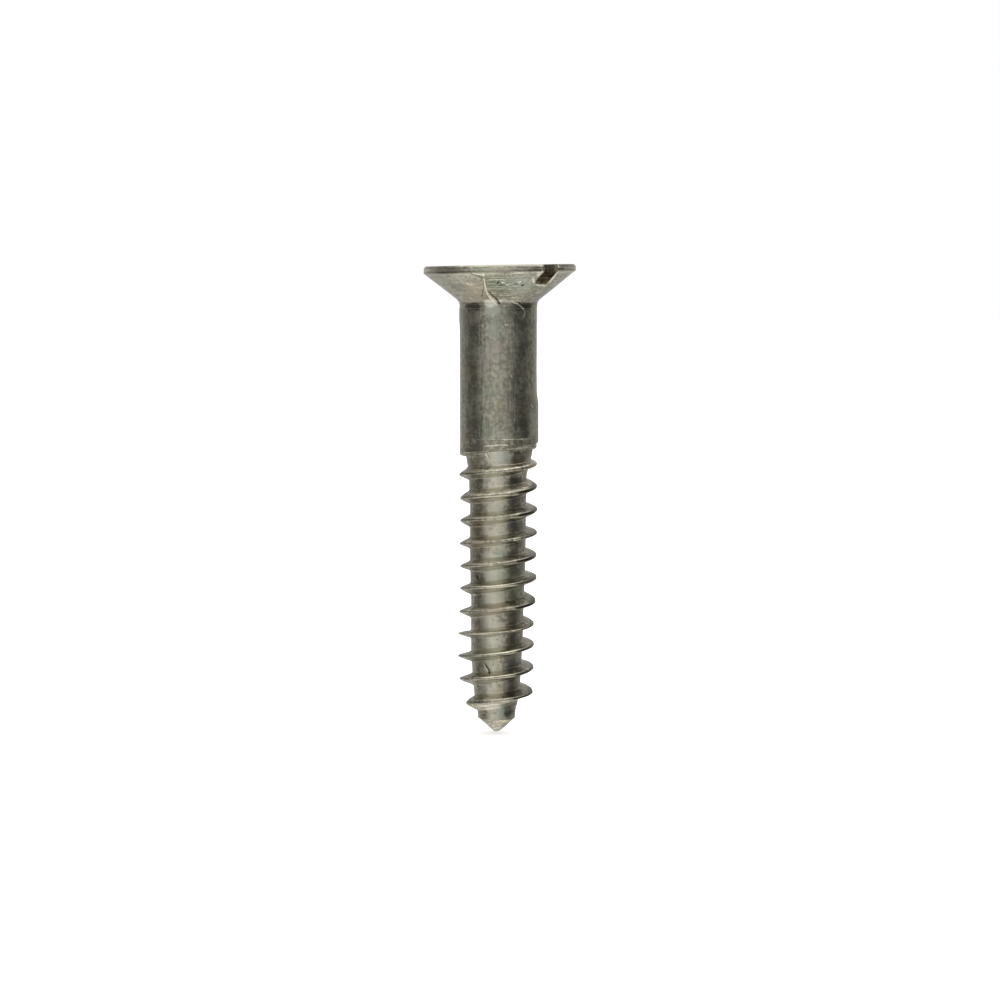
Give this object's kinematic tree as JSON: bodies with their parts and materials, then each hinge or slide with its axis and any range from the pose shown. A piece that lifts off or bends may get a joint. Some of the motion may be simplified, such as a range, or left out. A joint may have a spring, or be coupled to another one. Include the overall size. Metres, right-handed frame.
{
  "type": "slotted countersunk wood screw",
  "caption": "Steel wood screw with a slotted countersunk head, a plain shank and a tapered right-hand thread ending in a short conical point.",
  "frame": {"origin": "centre of the head's flat top, on the screw's axis, flush with the wood's surface when the screw is driven home", "axes": "+Z out of the head along the screw's axis, the point towards -Z; +X across it, with the slot running 48.5 degrees clockwise from +X seen from above"},
  "size_m": [0.0082, 0.0082, 0.0254],
  "materials": {
    "head_steel": "bare steel, turned, with fine rings left by the tool on the countersink cone",
    "shank_steel": "bare drawn steel, satin, with fine marks around and along it",
    "thread_steel": "bare cut steel, satin, with burred crests and tool marks along the thread"
  },
  "bodies": {
    "root": {"head": "head_steel", "shank": "shank_steel", "threaded_section": "thread_steel", "point": "thread_steel"}
  },
  "joints": []
}
